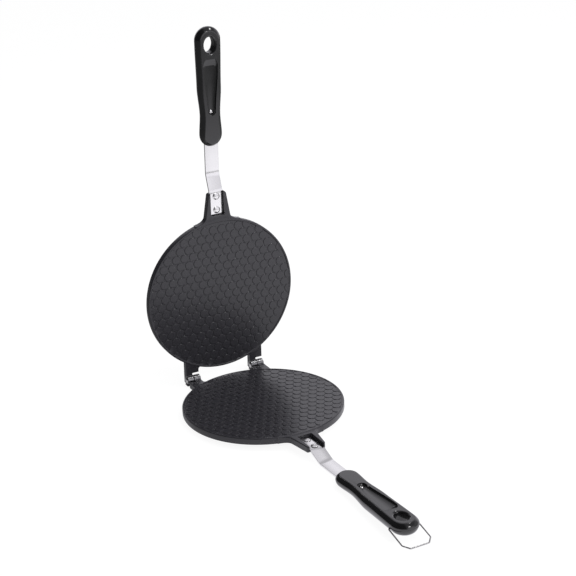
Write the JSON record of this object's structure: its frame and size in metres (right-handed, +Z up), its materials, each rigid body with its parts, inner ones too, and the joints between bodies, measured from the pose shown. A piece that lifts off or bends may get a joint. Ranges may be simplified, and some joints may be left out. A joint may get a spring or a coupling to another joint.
{
  "type": "egg roll maker",
  "caption": "Stovetop egg roll maker with round cast plates on a stopped hinge, riveted steel straps, long moulded handles and a wire bail that locks them shut.",
  "frame": {"origin": "middle of the round foot under the lower plate, the face that goes on the burner", "axes": "+X along the hinge, -Y towards the handles, +Z up from the table that the open iron stands on"},
  "size_m": [0.18, 0.4397, 0.412],
  "materials": {
    "lower_plate_coat": "cast, dark non-stick coat, semi-gloss",
    "upper_plate_coat": "cast, dark non-stick coat, semi-gloss",
    "strap_steel": "rolled flat bar, satin",
    "rivet_steel": "bright, domed heads",
    "pin_steel": "bright, domed heads",
    "screw_steel": "bright",
    "handle_moulding": "phenolic, glossy outside, satin inner face",
    "bail_wire": "bright drawn wire"
  },
  "bodies": {
    "lower_half": {"lower_plate": "lower_plate_coat", "lower_strap": "strap_steel", "lower_strap_rivet_1": "rivet_steel", "lower_strap_rivet_2": "rivet_steel", "lower_handle": "handle_moulding", "lower_handle_screw": "screw_steel", "hinge_pin_left": "pin_steel", "hinge_pin_right": "pin_steel"},
    "upper_half": {"upper_plate": "upper_plate_coat", "upper_strap": "strap_steel", "upper_strap_rivet_1": "rivet_steel", "upper_strap_rivet_2": "rivet_steel", "upper_handle": "handle_moulding", "upper_handle_screw": "screw_steel"},
    "bail": {"bail": "bail_wire"}
  },
  "joints": [
    {"name": "lid_hinge", "type": "hinge", "parent": "lower_half", "child": "upper_half", "pos_m": [0, 0.09765, 0.00465], "axis": [1, 0, 0], "range_deg": [0, 88]},
    {"name": "bail_swing", "type": "hinge", "parent": "lower_half", "child": "bail", "pos_m": [0, -0.28897, 0.00704], "axis": [1, 0, 0], "range_deg": [-104, 150]}
  ]
}
